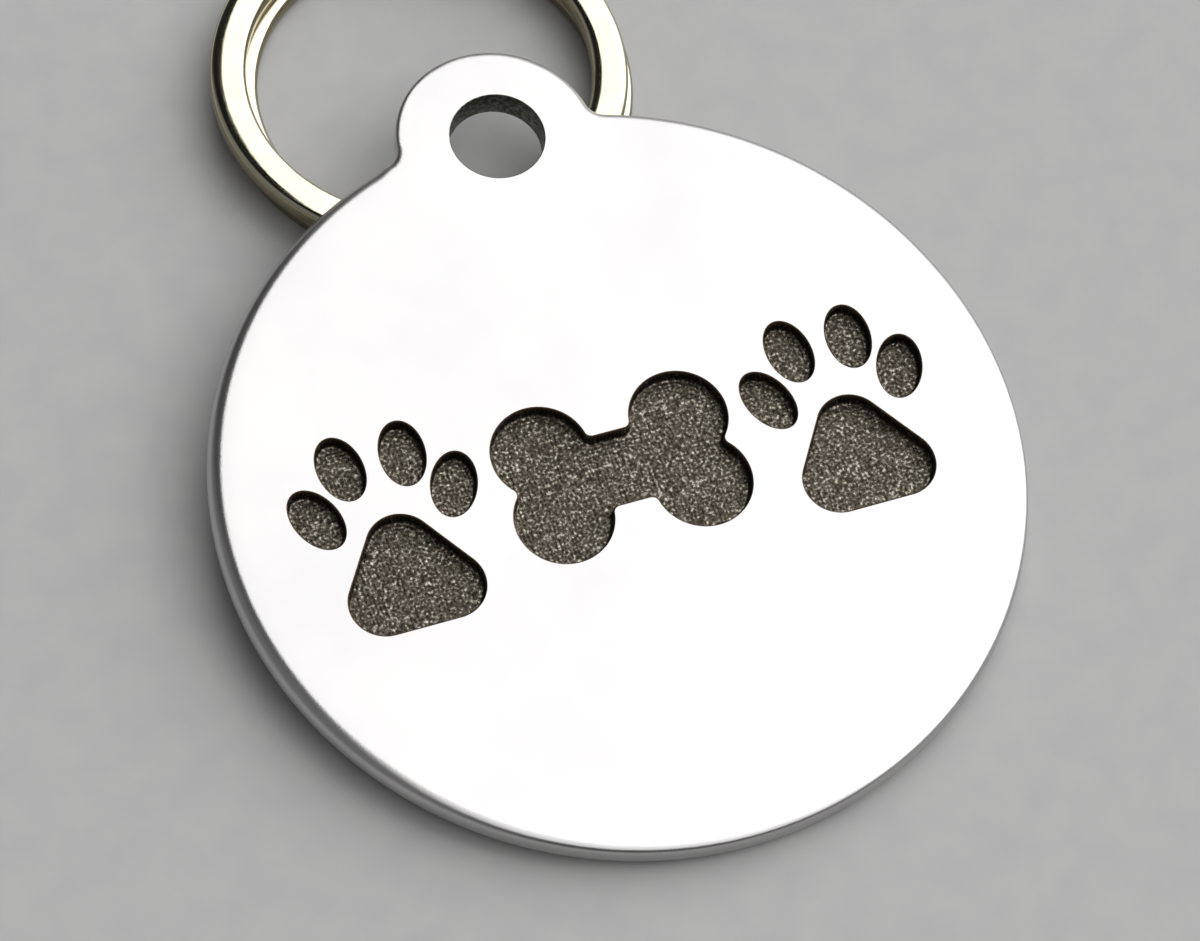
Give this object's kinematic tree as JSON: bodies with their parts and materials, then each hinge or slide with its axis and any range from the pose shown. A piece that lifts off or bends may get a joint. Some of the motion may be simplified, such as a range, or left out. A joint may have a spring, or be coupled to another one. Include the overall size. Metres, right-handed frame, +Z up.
{
  "type": "pet identification tag",
  "caption": "Round engraved metal pet tag with a drilled lug, leaning on a loose split ring; the tag lifts off the ring.",
  "frame": {"origin": "bottom centre of the whole as it lies: the middle of its length and width, on the surface that it rests on", "axes": "+Z up, +Y from the rim that the tag rests on towards the ring, +X to the right seen from that rim"},
  "size_m": [0.032, 0.0448, 0.004],
  "materials": {
    "tag_steel": "polished face with a fine satin grain, tumbled edge, dark rough engraved floors",
    "ring_nickel": "bright nickel plate"
  },
  "bodies": {
    "ring": {"split_ring": "ring_nickel"},
    "tag": {"tag_plate": "tag_steel"}
  },
  "joints": [
    {"name": "tag_lift", "type": "slide", "parent": "ring", "child": "tag", "axis": [0, 0, 1], "range_m": [0, 0.025]}
  ]
}
